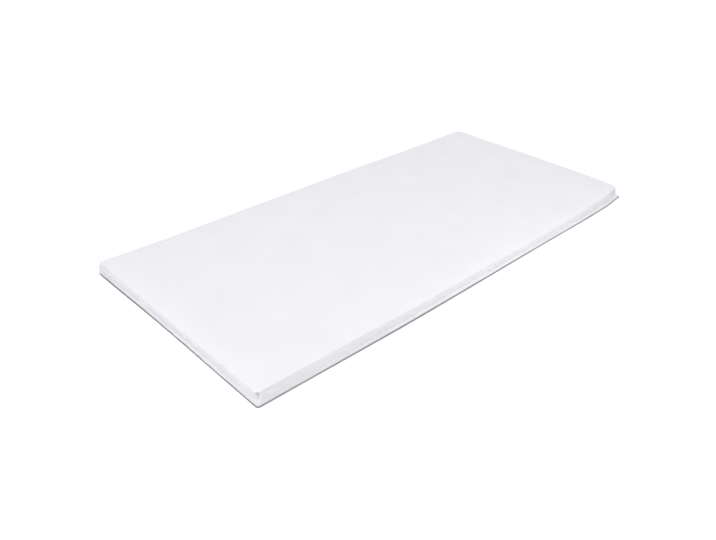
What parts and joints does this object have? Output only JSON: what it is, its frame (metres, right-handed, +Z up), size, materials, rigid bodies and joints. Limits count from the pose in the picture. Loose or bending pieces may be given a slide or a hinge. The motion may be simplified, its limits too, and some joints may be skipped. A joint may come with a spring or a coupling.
{
  "type": "mattress topper",
  "caption": "Thin plain mattress topper: a crowned, filled pad with softly rolled edges and pinched corners on a flat, sewn base cloth.",
  "frame": {"origin": "middle of the topper's outline, on the flat underside", "axes": "+X along the length, +Y across the width, +Z up through the thickness; the long side at -Y and the short end at -X face the reference view"},
  "size_m": [1.911, 0.9133, 0.057],
  "materials": {
    "cover": "matt, finely woven plain white cloth",
    "base_cloth": "matt grey woven cloth"
  },
  "bodies": {
    "root": {"topper_pad": "cover", "base_cloth": "base_cloth"}
  },
  "joints": []
}
